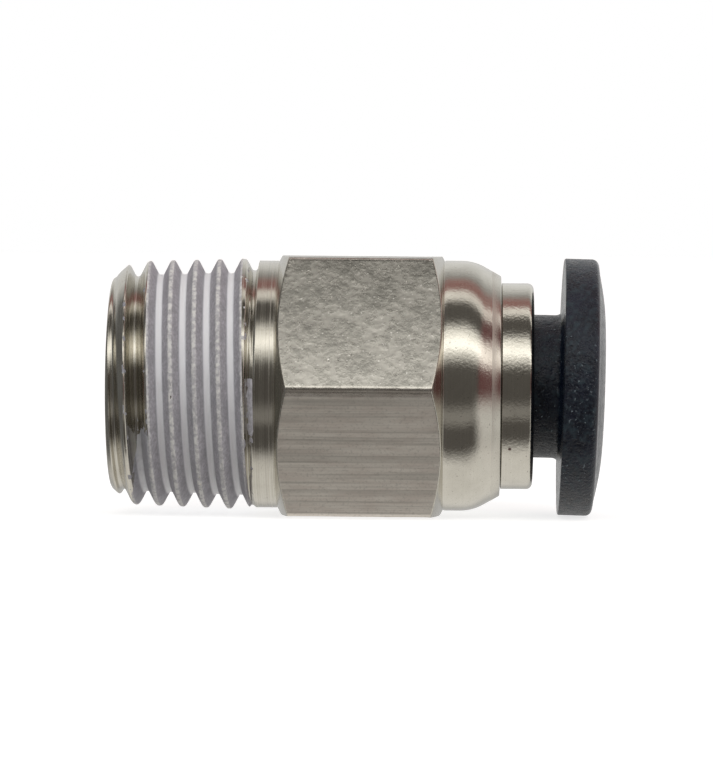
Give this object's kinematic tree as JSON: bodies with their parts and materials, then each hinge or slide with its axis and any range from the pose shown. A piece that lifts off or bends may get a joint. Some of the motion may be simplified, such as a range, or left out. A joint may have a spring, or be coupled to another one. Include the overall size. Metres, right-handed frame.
{
  "type": "push to connect fitting",
  "caption": "Straight male push to connect fitting: taper thread, hexagon body, release sleeve that opens a toothed claw on a round tube.",
  "frame": {"origin": "on the fitting's axis, halfway between the thread's end face and the top of the release sleeve", "axes": "+X along the axis from the thread towards the tube's mouth, +Z square to two flats of the hexagon, which lies on its lower flat"},
  "size_m": [0.019, 0.0114, 0.01],
  "materials": {
    "nickel_plate": "satin nickel plate on brass",
    "thread_sealant": "dried translucent sealing compound",
    "nitrile_rubber": "matt moulded rubber",
    "spring_steel": "bright stainless spring steel",
    "black_acetal": "fine satin moulded acetal"
  },
  "bodies": {
    "fitting_body": {"body": "nickel_plate", "thread_sealant": "thread_sealant", "tube_seal": "nitrile_rubber", "seal_back_ring": "nickel_plate", "guide_ring": "nickel_plate"},
    "claw": {"claw_ring": "spring_steel"},
    "release_sleeve": {"release_sleeve": "black_acetal"},
    "claw_tooth_1": {"claw_tooth_1": "spring_steel"},
    "claw_tooth_2": {"claw_tooth_2": "spring_steel"},
    "claw_tooth_3": {"claw_tooth_3": "spring_steel"},
    "claw_tooth_4": {"claw_tooth_4": "spring_steel"},
    "claw_tooth_5": {"claw_tooth_5": "spring_steel"},
    "claw_tooth_6": {"claw_tooth_6": "spring_steel"},
    "claw_tooth_7": {"claw_tooth_7": "spring_steel"},
    "claw_tooth_8": {"claw_tooth_8": "spring_steel"}
  },
  "joints": [
    {"name": "claw_spin", "type": "hinge", "parent": "fitting_body", "child": "claw", "pos_m": [0.00333, 0, 0], "axis": [1, 0, 0], "continuous": true},
    {"name": "release_press", "type": "slide", "parent": "claw", "child": "release_sleeve", "axis": [-1, 0, 0], "range_m": [0, 0.00095], "stiffness_N_per_m": 4000},
    {"name": "claw_tooth_1_flex", "type": "hinge", "parent": "claw", "child": "claw_tooth_1", "pos_m": [0.00333, 0, -0.00298], "axis": [0, -1, 0], "range_deg": [0, 17]},
    {"name": "claw_tooth_2_flex", "type": "hinge", "parent": "claw", "child": "claw_tooth_2", "pos_m": [0.00333, 0.00211, -0.00211], "axis": [0, -0.7071, -0.7071], "range_deg": [0, 17]},
    {"name": "claw_tooth_3_flex", "type": "hinge", "parent": "claw", "child": "claw_tooth_3", "pos_m": [0.00333, 0.00298, 0], "axis": [0, 0, -1], "range_deg": [0, 17]},
    {"name": "claw_tooth_4_flex", "type": "hinge", "parent": "claw", "child": "claw_tooth_4", "pos_m": [0.00333, 0.00211, 0.00211], "axis": [0, 0.7071, -0.7071], "range_deg": [0, 17]},
    {"name": "claw_tooth_5_flex", "type": "hinge", "parent": "claw", "child": "claw_tooth_5", "pos_m": [0.00333, 0, 0.00298], "axis": [0, 1, 0], "range_deg": [0, 17]},
    {"name": "claw_tooth_6_flex", "type": "hinge", "parent": "claw", "child": "claw_tooth_6", "pos_m": [0.00333, -0.00211, 0.00211], "axis": [0, 0.7071, 0.7071], "range_deg": [0, 17]},
    {"name": "claw_tooth_7_flex", "type": "hinge", "parent": "claw", "child": "claw_tooth_7", "pos_m": [0.00333, -0.00298, 0], "axis": [0, 0, 1], "range_deg": [0, 17]},
    {"name": "claw_tooth_8_flex", "type": "hinge", "parent": "claw", "child": "claw_tooth_8", "pos_m": [0.00333, -0.00211, -0.00211], "axis": [0, -0.7071, 0.7071], "range_deg": [0, 17]}
  ],
  "couplings": [
    {"joint": "claw_tooth_1_flex", "follows": "release_press", "rad_per_m": 312},
    {"joint": "claw_tooth_2_flex", "follows": "release_press", "rad_per_m": 312},
    {"joint": "claw_tooth_3_flex", "follows": "release_press", "rad_per_m": 312},
    {"joint": "claw_tooth_4_flex", "follows": "release_press", "rad_per_m": 312},
    {"joint": "claw_tooth_5_flex", "follows": "release_press", "rad_per_m": 312},
    {"joint": "claw_tooth_6_flex", "follows": "release_press", "rad_per_m": 312},
    {"joint": "claw_tooth_7_flex", "follows": "release_press", "rad_per_m": 312},
    {"joint": "claw_tooth_8_flex", "follows": "release_press", "rad_per_m": 312}
  ]
}
